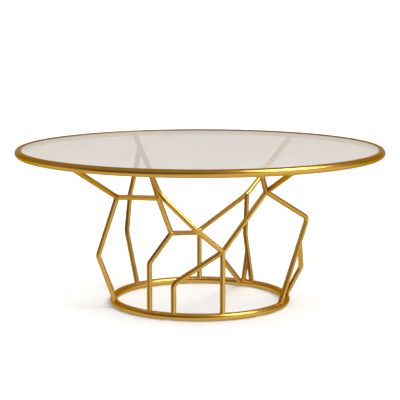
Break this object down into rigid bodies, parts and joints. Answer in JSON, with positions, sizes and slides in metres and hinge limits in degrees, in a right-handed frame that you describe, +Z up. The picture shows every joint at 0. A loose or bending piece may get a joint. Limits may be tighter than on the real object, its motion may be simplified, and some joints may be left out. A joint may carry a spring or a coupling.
{
  "type": "coffee table",
  "caption": "Low round table: a loose glass disc in a round-tube rim, on an open cage of bent and welded gold-finished rods that stands on a floor ring.",
  "frame": {"origin": "on the floor under the middle of the table", "axes": "+Z up; -Y is the front, +X is to the right seen from the front"},
  "size_m": [1.067, 1.0666, 0.457],
  "materials": {
    "gilded_steel": "satin gold-coloured plating",
    "table_glass": "clear polished float glass, edge rounded",
    "clear_bumper": "clear soft polyurethane",
    "nylon_glide": "moulded nylon"
  },
  "bodies": {
    "frame": {"back_left_leg": "gilded_steel", "back_post": "gilded_steel", "back_right_leg": "gilded_steel", "back_right_prop": "gilded_steel", "base_ring": "gilded_steel", "floor_brace": "gilded_steel", "floor_pad_1": "nylon_glide", "floor_pad_2": "nylon_glide", "floor_pad_3": "nylon_glide", "floor_pad_4": "nylon_glide", "floor_pad_5": "nylon_glide", "floor_pad_6": "nylon_glide", "fork_leg": "gilded_steel", "front_left_leg": "gilded_steel", "front_post": "gilded_steel", "front_rim_strut": "gilded_steel", "glass_bumper_1": "clear_bumper", "glass_bumper_2": "clear_bumper", "glass_bumper_3": "clear_bumper", "glass_bumper_4": "clear_bumper", "glass_bumper_5": "clear_bumper", "glass_bumper_6": "clear_bumper", "kick_leg": "gilded_steel", "left_beam": "gilded_steel", "left_diagonal": "gilded_steel", "left_fork_strut": "gilded_steel", "left_hub_strut": "gilded_steel", "left_leg": "gilded_steel", "left_rim_strut": "gilded_steel", "left_strut": "gilded_steel", "right_beam": "gilded_steel", "right_diagonal": "gilded_steel", "right_leg": "gilded_steel", "right_rim_strut": "gilded_steel", "top_rim": "gilded_steel"},
    "glass": {"glass_top": "table_glass"}
  },
  "joints": [
    {"name": "glass_lift", "type": "slide", "parent": "frame", "child": "glass", "axis": [0, 0, 1], "range_m": [0, 0.06]}
  ]
}
